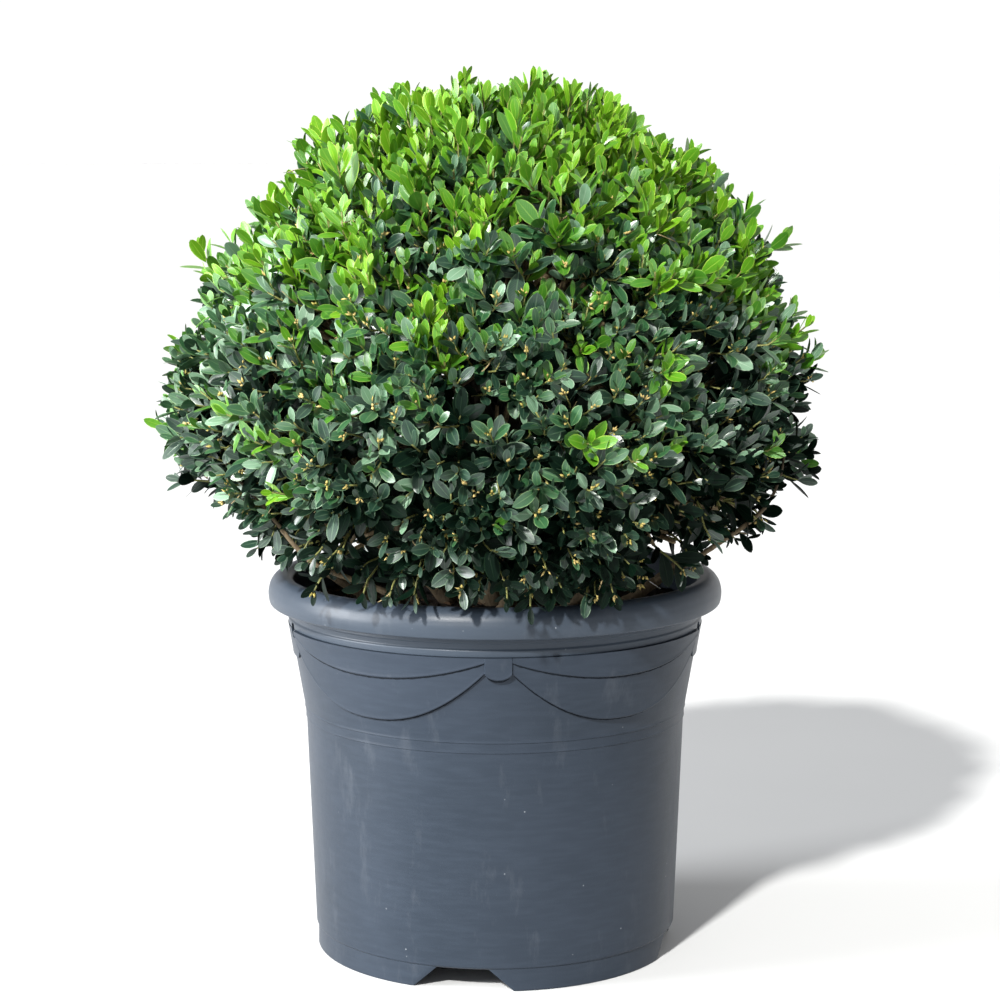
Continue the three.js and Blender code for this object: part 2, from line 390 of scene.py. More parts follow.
def turned(outline, segments, on_axis=False):
    """Points and faces of an outline turned about the pot's axis."""
    azimuth = np.arange(segments) * (360 / segments)
    if not on_axis:
        points = around(azimuth[None, :], outline[:, :1], outline[:, 1:])
        count = len(outline)
        return points.reshape(-1, 3), [net(count, segments, True, True)]
    ring = outline[1:-1]
    points = around(azimuth[None, :], ring[:, :1], ring[:, 1:]).reshape(-1, 3)
    hub = len(points)
    poles = [[0, 0, outline[0, 1]], [0, 0, outline[-1, 1]]]
    faces = [net(len(ring), segments, False, True), fan(hub, 0, segments, True),
             fan(hub + 1, hub - segments, segments)]
    return np.vstack([points, poles]), faces


def carve(made, cutter):
    """Cuts one piece by another, for good."""
    cut = made.modifiers.new("cut", "BOOLEAN")
    cut.operation, cut.solver, cut.object = "DIFFERENCE", "EXACT", cutter
    seen = made.evaluated_get(bpy.context.evaluated_depsgraph_get())
    result = bpy.data.meshes.new_from_object(seen)
    made.modifiers.clear()
    old, made.data = made.data, result
    bpy.data.meshes.remove(old)
    result.set_sharp_from_angle(angle=math.radians(SHARP))


def node_points(node):
    """A CAD node's corners at rest."""
    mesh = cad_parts[node].data
    flat = np.empty(len(mesh.vertices) * 3, np.float32)
    mesh.vertices.foreach_get("co", flat)
    return flat.reshape(-1, 3).astype(float)


def girth(node, height=None):
    """A CAD node's greatest radius, in mm, over all or close to a height."""
    points = node_points(node)
    if height is not None:
        points = points[abs(points[:, 2] - height) < 0.3 * MM]
    return float(np.hypot(points[:, 0], points[:, 1]).max()) / MM


# ---------------------------------------------------------------- the pot

POT_TURN = 1.0            # the front tab stands this many degrees from the front
TURN_STEPS = 288
WALL = 2.4
FLOOR = 3.0
RING_LINES = (207.0, 216.0)
RING_STEP = 0.6
PAD_HALF = 18.75          # half a handle pad's angle
TAB_HALF = 3.75
# the tab's raise, its drop below the wall's top, and how far its strip of painted shade
# reaches down
TAB_PROUD, TAB_DROP, TAB_SHADE_DROP = 4.8, 19.0, 2.5
SWAG_PROUD = 3.9, 2.7     # the upper and the lower swag's
SWAG_STEPS = 150
PAD_PROUD, PAD_DROP = 1.6, 26.0
SLOT_SIZE = (10.0, 13.0)
SLOT_CORNER = 2.0
SLOT_FROM_PAD = 15.0      # degrees from a pad's middle
SLOT_BELOW_TOP = 1.5
SLOT_CUT = 0.15, 0.23     # the radii in metres that a slot is cut between
DRAINS, DRAIN_RING, DRAIN_RADIUS, DRAIN_STEPS = 8, 0.105, 0.007, 24
DRAIN_CUT = 0.010, 0.034  # the heights in metres that a drain is cut between
NOTCH_CENTRE = -10.0
RIM_WIDTH = 24            # from the rolled rim's outside to where leaves may hang inside it
PAD_STEPS = 61
LIP_RISE = 4.2            # how far up a moulding's face its rolled edge reaches

foot_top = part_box("pot_wall")[0].z / MM
wall_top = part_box("pot_wall")[1].z / MM
rim_low, rim_high = (corner.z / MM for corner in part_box("pot_rim"))
foot_radius = girth("pot_wall", foot_top * MM)
top_radius = girth("pot_wall", wall_top * MM)
rim_radius = girth("pot_rim")
compost_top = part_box("compost")[1].z / MM
compost_radius = girth("compost", compost_top * MM)
line_radius = foot_radius + 7.2, foot_radius + 8.1

plastic = pot_plastic("satin_pot_plastic", (35, 43, 53), (42, 50, 61), 0.22)
# the rim is the pot's plastic in lighter colours, painted light standing in for the sun on the
# rim, and set glossier
rim_with_painted_light = pot_plastic("painted_light_rim_finish", (45, 53, 63), (53, 62, 73), 0.32)


def wall_radius(height):
    """The wall's outer radius above the upper ring line, in mm."""
    t = (height - RING_LINES[1]) / (wall_top - RING_LINES[1])
    low = line_radius[1] + RING_STEP
    return low + t * (top_radius - low)


def slot_cutters(with_drains):
    """One mesh of the four handle slots, and the drain holes where asked."""
    points, faces = [], []

    def cut(sections):
        count = len(sections[0])
        faces.extend(loft(2, count, sum(map(len, points))))
        points.extend(sections)

    outline = []
    for x, z, turn in ((1, 1, 0), (-1, 1, 90), (-1, -1, 180), (1, -1, 270)):
        for step in (0, 30, 60, 90):
            a = math.radians(turn + step)
            outline.append((x * (SLOT_SIZE[0] / 2 - SLOT_CORNER) + SLOT_CORNER * math.cos(a),
                            z * (SLOT_SIZE[1] / 2 - SLOT_CORNER) + SLOT_CORNER * math.sin(a)))
    outline = np.array(outline) * MM
    middle = (wall_top - SLOT_BELOW_TOP) * MM
    for azimuth in (s + e for s in (90, -90) for e in (-SLOT_FROM_PAD, SLOT_FROM_PAD)):
        turn = math.radians(azimuth + POT_TURN)
        out = np.array([math.sin(turn), -math.cos(turn), 0])
        side = np.array([math.cos(turn), math.sin(turn), 0])
        cut([out * radius + outline[:, :1] * side + (middle + outline[:, 1:]) * UP
             for radius in SLOT_CUT])
    if with_drains:
        for k in range(DRAINS):
            hub = around((k + 0.5) * 360 / DRAINS + POT_TURN, DRAIN_RING, 0)
            ring = around(np.arange(DRAIN_STEPS) * 360 / DRAIN_STEPS, DRAIN_RADIUS, 0) + hub
            cut([ring + height * UP for height in DRAIN_CUT])
    mesh = bpy.data.meshes.new("cutter")
    corners = [list(map(int, face)) for block in faces for face in block]
    mesh.from_pydata(np.concatenate(points).tolist(), [], corners)
    return placed("cutter", mesh)


def pot_wall():
    """The tapering wall and floor, with the two raised ring lines."""
    (low, high), (r_low, r_high) = RING_LINES, line_radius
    outline = [
        (0, foot_top, 0), (foot_radius - 1.5, foot_top, 0.8),
        (foot_radius, foot_top + 1.5, 0.8),
        (r_low, low, 0.1),
        (r_low + RING_STEP + 0.15, low + 0.4, 0.3),
        (r_low + RING_STEP, low + 2.4, 0.8),
        (r_high, high - 0.3, 0.1),
        (r_high + RING_STEP + 0.15, high + 0.1, 0.3),
        (r_high + RING_STEP, high + 2.1, 0.8),
        (top_radius, wall_top + 0.2, 0.1), (top_radius - WALL, wall_top + 0.2, 0.1),
        (r_high - WALL, high, 0.5),
        (foot_radius - WALL, foot_top + FLOOR, 1.0), (0, foot_top + FLOOR, 0),
    ]
    points, faces = turned(eased(outline, False), TURN_STEPS, True)
    return piece("pot_wall_shell", points, faces, plastic,
                 nodes=["pot_wall"], sharp=SHARP)


def pot_rim():
    """The collar with its fine lines, and the lip rolled out and down over it."""
    neck, r, z = top_radius + 1.1, rim_radius, rim_high
    outline = [
        (top_radius - WALL, rim_low, 0.3), (neck, rim_low, 0.5),
        (neck + 0.4, rim_low + 5.2, 0.6), (neck - 0.7, rim_low + 6.9, 0.6),
        (neck - 0.4, rim_low + 11.0, 0.3), (neck + 0.2, rim_low + 11.7, 0.3),
        (neck + 0.1, rim_low + 17.9, 1.5), (r - 4.6, rim_low + 18.1, 0.6),
        (r - 3.2, rim_low + 17.0, 0.7), (r - 1.2, rim_low + 18.2, 0.9),
        (r - 0.2, rim_low + 22.5, 3.0), (r, z - 15.0, 4.0), (r - 1.6, z - 8.0, 4.0),
        (r - 5.4, z - 2.6, 4.0), (r - 11.0, z, 4.0),
        (r - 18.0, z - 0.6, 2.4), (r - 22.0, z - 4.2, 2.0),
    ]
    points, faces = turned(eased(outline), TURN_STEPS)
    return piece("pot_rolled_rim", points, faces, rim_with_painted_light,
                 nodes=["pot_rim"], sharp=SHARP)


def foot_pad(index):
    """A quarter of the foot ring, its ends leaning in toward the notch's top."""
    centre = NOTCH_CENTRE + (index + 0.5) * 90
    points = node_points(f"foot_pad_{index + 1}")
    radii = np.hypot(points[:, 0], points[:, 1]) / MM
    inner, outer = radii.min() + 0.2, radii.max()
    outline = eased([
        (inner, 0, 1.2), (inner, foot_top + 0.3, 0.1),
        (outer, foot_top + 0.3, 0.1), (outer, 0, 1.2),
    ]) / MM
    steps = np.linspace(-1, 1, PAD_STEPS)
    middle = np.array([(inner + outer) / 2, foot_top / 2])
    rows = []
    for t in steps:
        shrink = 1 - 0.16 * max(0.0, (abs(t) - 0.985) / 0.015) ** 2
        flat = middle + (outline - middle) * (shrink, 1)
        rise = np.clip(flat[:, 1] / foot_top, 0, 1)
        half = 29 + 8 * rise
        rows.append(around(centre + t * half, flat[:, 0] * MM, flat[:, 1] * MM))
    piece(f"foot_{index + 1}", np.concatenate(rows), loft(len(steps), len(outline)),
          plastic, nodes=[f"foot_pad_{index + 1}"], sharp=SHARP)


def raised(name, start, end, columns, proud, low_edge, high_edge, ends=0.0):
    """Relief on the wall with a rolled lower edge; ends rounds its two sides off."""
    azimuth = np.linspace(start, end, columns + 1)
    low, high = low_edge(azimuth), high_edge(azimuth)
    lips = [(-0.5, 0.45), (0.5, 0.1), (0.88, 0.0), (1.05, 0.35), (1.1, 0.9),
            (1.07, 1.5), (1.02, 2.6), (1.0, LIP_RISE)]
    near_end = np.minimum(azimuth - start, end - azimuth)
    swell = np.ones(len(azimuth))
    if ends:
        swell = np.sqrt(1 - np.clip(1 - near_end / ends, 0, 1) ** 2) * 0.97 + 0.03
    rows = []
    for out, rise in lips:
        height = np.minimum(low + rise, high - 0.02 * (LIP_RISE - rise))
        clear = np.where(out < 0, out, out * proud * swell)
        rows.append((wall_radius(height) + clear, height))
    rows.append((wall_radius(high) + proud * swell, high))
    rows.append((wall_radius(high) - 0.5, high))
    points = np.stack([around(azimuth + POT_TURN, r * MM, z * MM) for r, z in rows], 1)
    return piece(f"moulded_{name}", points.reshape(-1, 3), loft(columns + 1, len(rows)),
                 plastic, nodes=[name], sharp=50)


# strips of painted shade under the mouldings' lower edges, gathered for one piece
painted_shade_lines = []


def painted_shade_line(start, end, columns, low_edge, under, drop=1.5):
    """A dark strip of painted shade on the wall, close under a moulding's lower edge."""
    azimuth = np.linspace(start, end, columns + 1)
    low = low_edge(azimuth)
    wave = 0.25 * np.sin(azimuth * 2.1) * np.sin(azimuth * 0.73)
    ends = np.minimum(azimuth - start, end - azimuth)
    drop = drop * np.clip(ends / 1.2, 0.25, 1) + wave
    rows = [(wall_radius(low - drop * t) + under + out, low - drop * t)
            for t, out in ((-0.4, 0.2), (0.0, 0.2), (0.6, 0.16), (1.0, 0.05))]
    points = np.stack([around(azimuth + POT_TURN, r * MM, z * MM) for r, z in rows], 1)
    faces = net(columns + 1, len(rows), start=sum(len(lot) for lot, _ in painted_shade_lines))
    painted_shade_lines.append((points.reshape(-1, 3), faces))


def swag_edge(dip, rise, power, middle, half):
    """A swag's lower edge: its height in mm at an azimuth."""
    def edge(azimuth):
        u = abs(azimuth - middle) / half
        return np.minimum(dip + rise * u ** power, wall_top - 4)
    return edge


def relief():
    """Two swag lines in each quarter, the tabs, and the slotted handle pads."""
    def top(azimuth):
        return np.full(len(azimuth), wall_top + 0.1)

    half = (TAB_HALF + 90 - PAD_HALF) / 2
    quarters = (("front_right", 0, 1), ("back_right", 180, -1),
                ("back_left", 180, 1), ("front_left", 0, -1))
    for name, origin, way in quarters:
        start, end = sorted(origin + way * a for a in (TAB_HALF - 0.2, 90 - PAD_HALF + 0.2))
        middle = origin + way * half
        upper = swag_edge(269, 21.8, 2.1, middle, half)
        dip = swag_edge(231.5, 58, 2.3, middle, half)

        def lower(azimuth, dip=dip, upper=upper):
            return np.minimum(dip(azimuth), upper(azimuth) - 1.7)

        def seam(azimuth, upper=upper):
            return upper(azimuth) + 0.3

        swag = start, end, SWAG_STEPS
        raised(f"swag_upper_{name}", *swag, SWAG_PROUD[0], upper, top)
        raised(f"swag_lower_{name}", *swag, SWAG_PROUD[1], lower, seam)
        # painted shade under each swag's lower edge
        painted_shade_line(*swag, upper, SWAG_PROUD[1])
        painted_shade_line(*swag, lower, 0.0)
    for name, centre in (("tab_front", 0), ("tab_back", 180)):
        def round_end(azimuth, centre=centre):
            u = np.clip(abs(azimuth - centre) / TAB_HALF, 0, 1)
            return wall_top - TAB_DROP + 8 * (1 - np.sqrt(1 - u * u))

        tab = centre - TAB_HALF, centre + TAB_HALF, 48
        raised(name, *tab, TAB_PROUD, round_end, top, 0.35)
        # painted shade under the tab's rounded end
        painted_shade_line(*tab, round_end, 0.0, TAB_SHADE_DROP)
    cutter = slot_cutters(False)
    for name, centre in (("handle_pad_right", 90), ("handle_pad_left", -90)):
        def soft_end(azimuth, centre=centre):
            u = np.clip(1 - (PAD_HALF - abs(azimuth - centre)) / TAB_HALF, 0, 1)
            return wall_top - PAD_DROP + 8 * u * u

        carve(raised(name, centre - PAD_HALF, centre + PAD_HALF, 120, PAD_PROUD, soft_end, top,
                     0.5), cutter)
    carve(pot_rim(), cutter)
    bpy.data.objects.remove(cutter)
    points, faces = zip(*painted_shade_lines)
    # near-black painted shade for the strips under the mouldings
    shade_strip_finish = gritty("painted_crease_shade", 0.1, (420, 4), (0.3, 0.7), (17, 21, 27), (30, 35, 42),
                   (420, 4), 0.7, 0.0003)
    piece("moulding_painted_shade", np.concatenate(points), [np.concatenate(faces)], shade_strip_finish)


def compost():
    """A granular bed of compost, and bits of bark lying on it."""
    rings, segments, chip_count = 72, 260, 420
    share = (np.arange(1, rings + 1) / rings) ** 0.8
    radius = share * compost_radius * MM
    azimuth = np.arange(segments) * 360 / segments
    bed = around(azimuth[None, :], radius[:, None], compost_top * MM).reshape(-1, 3)
    centre = np.array([[0, 0, compost_top * MM]])
    for point in (*bed, *centre):
        spot = Vector(point)
        swell = noise.noise(spot * 26) * 2.2 + noise.noise(spot * 95) * 1.9
        crumb = abs(noise.noise(spot * 260)) * 1.5 + abs(noise.noise(spot * 520)) * 0.8
        point[2] += (swell + crumb - 1.5) * MM
    edge = np.clip((np.hypot(bed[:, 0], bed[:, 1]) / MM - compost_radius + 8) / 8, 0, 1)
    bed[:, 2] -= edge * 1.2 * MM
    side = [(wall_radius(wall_top) - WALL - 0.8, wall_top - 8),
            (line_radius[1] - WALL - 0.3, RING_LINES[1]),
            (foot_radius - WALL - 0.3, foot_top + FLOOR + 0.6)]
    walls = [around(azimuth, r * MM, z * MM) for r, z in side]
    base = np.array([[0, 0, (foot_top + FLOOR + 0.6) * MM]])
    points = np.vstack([bed, *walls, centre, base])
    rows = rings + len(side)
    hub = rows * segments
    fans = [fan(hub, 0, segments), fan(hub + 1, hub - segments, segments, True)]
    quads = net(rows, segments, False, True)[:, ::-1]
    piece("compost_bed", points, [quads, *fans], damp_compost(),
          nodes=["compost"])

    rng = np.random.default_rng(31)
    chips = []
    body = np.array([(1, 0, 0), (0.3, 0.9, 0.1), (-0.8, 0.5, 0), (-0.9, -0.4, 0.1),
                     (0.1, -1, 0), (0.1, 0.1, 0.9), (-0.1, 0, -0.9)])
    links = [(i, (i + 1) % 5, 5) for i in range(5)] + [((i + 1) % 5, i, 6) for i in range(5)]
    for _ in range(chip_count):
        size = rng.uniform(1.6, 5.2) * MM
        shape = body * rng.uniform(0.7, 1.3, body.shape) * (1, rng.uniform(0.4, 0.9), 0.45)
        turn, tip = rng.uniform(0, 2 * math.pi), rng.uniform(-0.5, 0.5)
        spin = np.array([[math.cos(turn), -math.sin(turn), 0],
                         [math.sin(turn), math.cos(turn), 0], [0, 0, 1]])
        tilt = np.array([[math.cos(tip), 0, math.sin(tip)], [0, 1, 0],
                         [-math.sin(tip), 0, math.cos(tip)]])
        reach = math.sqrt(rng.uniform(0, 1)) * (compost_radius - 7) * MM
        spot = around(rng.uniform(0, 360), reach, (compost_top + 0.6) * MM)
        chips.append(shape @ (spin @ tilt).T * size + spot)
    bark = gritty("bark_chips", 0.3, (70, 3), (0.35, 0.65), (38, 28, 21), (92, 70, 50),
                  (900, 4), 0.75, 0.0008)
    piece("compost_chips", np.concatenate(chips), [repeated(links, chip_count, len(body))],
          bark, sharp=30)


shell = pot_wall()
cutter = slot_cutters(True)
carve(shell, cutter)
bpy.data.objects.remove(cutter)
relief()
for index in range(4):
    foot_pad(index)
compost()


# ---------------------------------------------------------------- the shrub's frame of limbs

rng = np.random.default_rng(1407)     # every branch, shoot and leaf is drawn from this seed
crown_low, crown_high = (np.array(corner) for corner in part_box("crown"))
HEART = np.array([0.0, 0.0, crown_low[2] + 0.27 * (crown_high[2] - crown_low[2])])
crown_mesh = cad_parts["crown"].data
clipped_face = BVHTree.FromPolygons(
    [v.co.copy() for v in crown_mesh.vertices],
    [tuple(p.vertices) for p in crown_mesh.polygons])
BOUGHS = ["stem", *(f"outer_bough_{i}" for i in range(1, 7)),
          *(f"inner_bough_{i}" for i in range(1, 4))]


def unit(vectors):
    return vectors / np.maximum(np.linalg.norm(vectors, axis=-1, keepdims=True), 1e-12)


def face_distance(directions):
    """How far the clipped face lies from the crown's heart along each direction."""
    return np.array([clipped_face.ray_cast(Vector(HEART), Vector(d))[3] or 0.1
                     for d in directions])


def spread(count, lowest, twist):
    """Directions spread evenly over the part of a sphere above a sine of elevation."""
    k = np.arange(count) + 0.5
    z = 1 - k / count * (1 - lowest)
    turn = k * math.pi * (3 - math.sqrt(5)) + twist
    flat = np.sqrt(1 - z * z)
    return np.stack([flat * np.cos(turn), flat * np.sin(turn), z], 1)


def waves(points, size, seed, count=14):
    """Smooth clumps, from about -1 to 1, of about a size in metres."""
    draw = np.random.default_rng(seed)
    keys = unit(draw.normal(size=(count, 3))) * (2 * math.pi / size)
    keys = keys * draw.uniform(0.6, 1.4, (count, 1))
    return np.sin(points @ keys.T + draw.uniform(0, 2 * math.pi, count)).mean(1) * 2.6


def bent(t, start, leaving, end, arriving):
    """The place at a share t of a smooth curve that leaves and arrives as it is told."""
    return ((2 * t ** 3 - 3 * t ** 2 + 1) * start + (t ** 3 - 2 * t ** 2 + t) * leaving
            + (3 * t ** 2 - 2 * t ** 3) * end + (t ** 3 - t ** 2) * arriving)


def arcs(start, start_way, end, end_way, steps):
    """Smooth curves between points, each a row of evenly spaced places."""
    t = np.linspace(0, 1, steps)[None, :, None]
    return bent(t, *(x[:, None, :] for x in (start, start_way, end, end_way)))


def tubes(paths, radii, sides, relief_depth=0.0):
    """Closed round limbs along paths, with their maps; relief raises the bark."""
    count, steps, _ = paths.shape
    along = unit(np.gradient(paths, axis=1))
    mean = unit(paths[:, -1] - paths[:, 0])
    pick = np.eye(3)[np.argmin(abs(mean), 1)]
    side = unit(np.cross(along, pick[:, None, :]))
    other = np.cross(along, side)
    turn = np.arange(sides) * 2 * math.pi / sides
    ring = (side[:, :, None, :] * np.cos(turn)[None, None, :, None]
            + other[:, :, None, :] * np.sin(turn)[None, None, :, None])
    girths = np.broadcast_to(radii[:, :, None], (count, steps, sides)).copy()
    if relief_depth:
        where = (paths[:, :, None, :] + ring * radii[:, :, None, None]).reshape(-1, 3)
        stretched = where * (1, 1, 0.35)
        bark = waves(stretched, 0.006, 5) + 0.8 * waves(where, 0.022, 6)
        girths *= 1 + relief_depth * np.clip(bark, -1.5, 1.5).reshape(girths.shape)
    points = paths[:, :, None, :] + ring * girths[..., None]
    faces = [repeated(block, count, steps * sides) for block in loft(steps, sides)]
    r, c = np.meshgrid(np.arange(steps - 1), np.arange(sides), indexing="ij")
    corners = [(r, c), (r, c + 1), (r + 1, c + 1), (r + 1, c)]
    flat = np.stack([np.stack([a / (steps - 1), b / sides], -1) for a, b in corners], 2)
    flat = CELL_LOW + CELL_SIDE * flat.reshape(-1, 2)
    spot = np.full((count * 2 * sides, 2), CELL_LOW + 0.5 * CELL_SIDE)
    spot += 0.002 * np.tile(np.stack([np.cos(turn), np.sin(turn)], 1), (count * 2, 1))
    return points.reshape(-1, 3), faces, [np.tile(flat, (count, 1)), spot]


def joined(parts):
    """Several lots of points, faces and maps as one."""
    points, sorts, maps, start = [], {}, {}, 0
    for lot, faces, where in parts:
        flat, corner = np.concatenate(where), 0
        for block in faces:
            sides = block.shape[1]
            sorts.setdefault(sides, []).append(block + start)
            maps.setdefault(sides, []).append(flat[corner:corner + block.size])
            corner += block.size
        points.append(lot)
        start += len(lot)
    order = sorted(sorts)
    return (np.concatenate(points), [np.concatenate(sorts[k]) for k in order],
            [np.concatenate(maps[k]) for k in order])


def young_wood(name, bark, light, dark, *parts):
    """A piece of slender limbs in smooth bark."""
    points, faces, maps = joined(parts)
    piece(name, points, faces, young_bark(bark, light, dark), maps)


def limb_ends(node):
    """The foot and its radius, then the head and its radius, of a limb of the frame."""
    points = node_points(node)
    low, high = points[:, 2].min(), points[:, 2].max()
    near = (high - low) * 0.12
    ends = []
    for ring in (points[points[:, 2] < low + near], points[points[:, 2] > high - near]):
        middle = ring.mean(0)
        ends += [middle, np.linalg.norm(ring - middle, axis=1).mean()]
    return ends


def nearest(children, parents, ways):
    """For each child, the parent it grows from: near, and not behind it."""
    gap = children[:, None, :] - parents[None]
    distance = np.linalg.norm(gap, axis=2)
    ahead = (gap * ways[None]).sum(2) / np.maximum(distance, 1e-6)
    return np.argmin(distance * (1.35 - 0.55 * ahead), 1)


# each limb of the frame keeps its foot and grows on through its head
feet, foot_girth, heads, head_girth = map(np.array, zip(*map(limb_ends, BOUGHS)))
limb_way = unit(heads - feet)

EYE = np.array([0.0044, -2.330, 0.718])     # where the camera stands

# two bare limbs fork low from a bough and lean out over the rim; mm from the bough's head
LOW_RUNS = {
    "outer_bough_5": [(6, 25, -17), (-14, 26, -6), (-44, 28, 4), (-67, 13, 16), (-85, 11, 32),
                      (-104, 11, 58), (-123, 13, 81), (-140, 22, 93), (-148, 34, 112)],
    "outer_bough_1": [(-25, -6, -17), (-12, -30, -6), (-4, -62, 5), (8, -96, 20),
                      (40, -96, 41), (59, -92, 55), (70, -84, 67), (80, -70, 88),
                      (84, -56, 112)],
}


def eased_run(points, rounds=3):
    """A run of points with its corners cut, again and again."""
    for _ in range(rounds):
        a, b = points[:-1], points[1:]
        inner = np.stack([0.75 * a + 0.25 * b, 0.25 * a + 0.75 * b], 1).reshape(-1, 3)
        points = np.vstack([points[:1], inner, points[-1:]])
    return points


low_limbs = [eased_run(heads[BOUGHS.index(node)] + np.array(run) * MM)
             for node, run in LOW_RUNS.items()]


def veil(points):
    """1 where a shoot would hide a bare low limb from the front, fading to 0 beside it."""
    def flat(p):
        away = p - EYE
        return away[:, [0, 2]] / away[:, 1:2] * -EYE[1]
    path = np.concatenate([run[len(run) // 5:len(run) * 4 // 5] for run in low_limbs])
    gap = np.linalg.norm(flat(points)[:, None] - flat(path)[None], axis=2).min(1)
    return np.clip((0.034 - gap) / 0.016, 0, 1) * (points[:, 1] < -0.02)


FORKS, BRANCHES, TWIGS = 34, 160, 760
FORK_STEPS, BRANCH_STEPS, TWIG_STEPS = 18, 10, 7
FORK_TIP, BRANCH_TIP, TWIG_TIP = 0.0042, 0.0026, 0.0016      # radii in metres
LOW_LIMB, LOW_LIMB_TIP = 0.0032, 0.0008


def level(count, lowest, twist, share, parents, ways, wobble):
    """One order of growth: the ends, the parent each leaves, and the ways they point."""
    directions = unit(spread(count, lowest, twist) + rng.normal(0, wobble, (count, 3)))
    ends = HEART + directions * (face_distance(directions) * share)[:, None]
    ends += rng.normal(0, 0.006, ends.shape)
    parent = nearest(ends, parents, ways)
    return ends, parent, unit(unit(ends - parents[parent]) + 0.7 * directions + 0.25 * UP)


fork_end, fork_of, fork_way = level(
    FORKS, -0.42, 0.4, rng.uniform(0.36, 0.50, FORKS), heads, limb_way, 0.05)
branch_end, branch_of, branch_way = level(
    BRANCHES, -0.50, 1.1, rng.uniform(0.55, 0.68, BRANCHES), fork_end, fork_way, 0.05)
twig_end, twig_of, twig_way = level(
    TWIGS, -0.56, 2.3, rng.uniform(0.72, 0.84, TWIGS), branch_end, branch_way, 0.04)


def grown(ends, ways, parent_ends, parent_ways, parent, steps):
    """The curves from parents' ends to their children's."""
    start = parent_ends[parent]
    length = np.linalg.norm(ends - start, axis=1, keepdims=True)
    return arcs(start, parent_ways[parent] * length * 0.8, ends, ways * length * 0.8, steps)


def taper(start, end, steps, count):
    """The radii along limbs that thin evenly."""
    return np.tile(start + (end - start) * np.linspace(0, 1, steps), (count, 1))


def bough(k):
    """A bough of the frame, with its flared foot and the forks that go on from its head."""
    base = feet[k] - limb_way[k] * 0.012      # its foot is sunk in the compost
    run = np.linspace(0, 1, 14)
    bow = np.sin(run[:, None] * math.pi) * 0.002
    trunk = (base + (heads[k] - base) * run[:, None]
             + bow * unit(np.cross(limb_way[k], UP) + 1e-6))
    girths = foot_girth[k] + (head_girth[k] - foot_girth[k]) * run
    girths = girths * (1 + 0.45 * np.exp(-run * 9))
    yield tubes(trunk[None], girths[None], 20, 0.07)
    for f in np.flatnonzero(fork_of == k):
        path = arcs(heads[k][None] - limb_way[k] * 0.004, limb_way[k][None] * 0.09,
                    fork_end[f][None], fork_way[f][None] * 0.07, FORK_STEPS)
        girths = taper(head_girth[k] * 0.95, FORK_TIP, FORK_STEPS, 1)
        yield tubes(path, girths, 14, 0.07)


parts = [part for k in range(len(BOUGHS)) for part in bough(k)]
parts += [tubes(run[None], taper(LOW_LIMB, LOW_LIMB_TIP, len(run), 1), 12, 0.09)
          for run in low_limbs]
points, faces, _ = joined(parts)
piece("boughs", points, faces, bough_bark(), nodes=BOUGHS)

branch_path = grown(branch_end, branch_way, fork_end, fork_way, branch_of, BRANCH_STEPS)
twig_path = grown(twig_end, twig_way, branch_end, branch_way, twig_of, TWIG_STEPS)
young_wood("branches", "branch_bark", (150, 134, 100), (92, 76, 52),
           tubes(branch_path, taper(FORK_TIP, BRANCH_TIP, BRANCH_STEPS, BRANCHES), 8, 0.06),
           tubes(twig_path, taper(BRANCH_TIP, TWIG_TIP, TWIG_STEPS, TWIGS), 6, 0.05))


# ---------------------------------------------------------------- shoots and leaves

SHOOTS = 2950             # wanted; as many as find room are kept
SHOOT_GAP = 0.0132        # metres from shoot to shoot on the clipped face
SHOOT_RADII = 0.0013, 0.00065
LEAF_PAIRS = 4, 9         # a shoot has from the first to one less than the second
PAIR_GAP = 0.0062, 0.0100
LEAF_LENGTH, LENGTH_SPREAD, LENGTH_RANGE = 0.0236, 0.0034, (0.0155, 0.0320)
LEAF_WIDTH = 0.38, 0.50   # of its length


def open_low(points):
    """1 where the low flanks are thin enough to see sky through, else 0."""
    azimuth = np.degrees(np.arctan2(points[:, 0], -points[:, 1]))
    flank = np.exp(-((abs(azimuth) - 78) / 20) ** 2)
    low = np.exp(-((points[:, 2] - 0.372) / 0.020) ** 2)
    return flank * low


